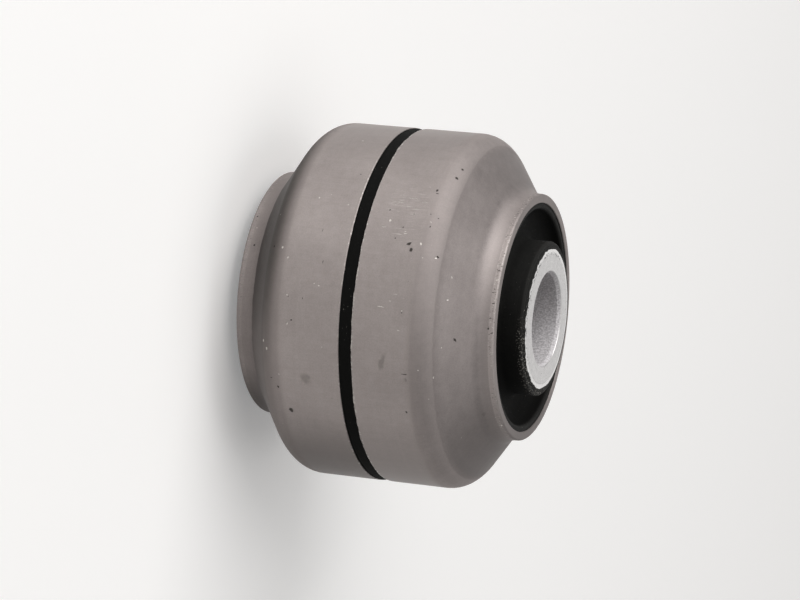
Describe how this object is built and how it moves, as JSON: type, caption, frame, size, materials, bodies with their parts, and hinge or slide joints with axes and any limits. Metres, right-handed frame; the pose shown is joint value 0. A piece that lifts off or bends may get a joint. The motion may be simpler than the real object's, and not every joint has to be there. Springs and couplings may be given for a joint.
{
  "type": "stabilizer bushing",
  "caption": "Rubber-to-metal bush for a stabilizer bar: drawn steel half shells with a narrow gap, bonded by rubber round a bored steel sleeve.",
  "frame": {"origin": "middle of the bush, on the axis of the bore", "axes": "+Z along the axis of the bore, upwards as the bush stands on the lower end of its sleeve; the middle of the gap between the half shells lies 0.4 mm above the origin"},
  "size_m": [0.08, 0.08, 0.0668],
  "materials": {
    "shell_steel": "deep-drawn and passivated, satin grey with faint marks round it",
    "black_rubber": "moulded, matte black",
    "sleeve_steel": "turned and faced, bright at the ends and grainy in the bore"
  },
  "bodies": {
    "root": {"lower_shell": "shell_steel", "upper_shell": "shell_steel", "rubber_body": "black_rubber", "inner_sleeve": "sleeve_steel"}
  },
  "joints": []
}
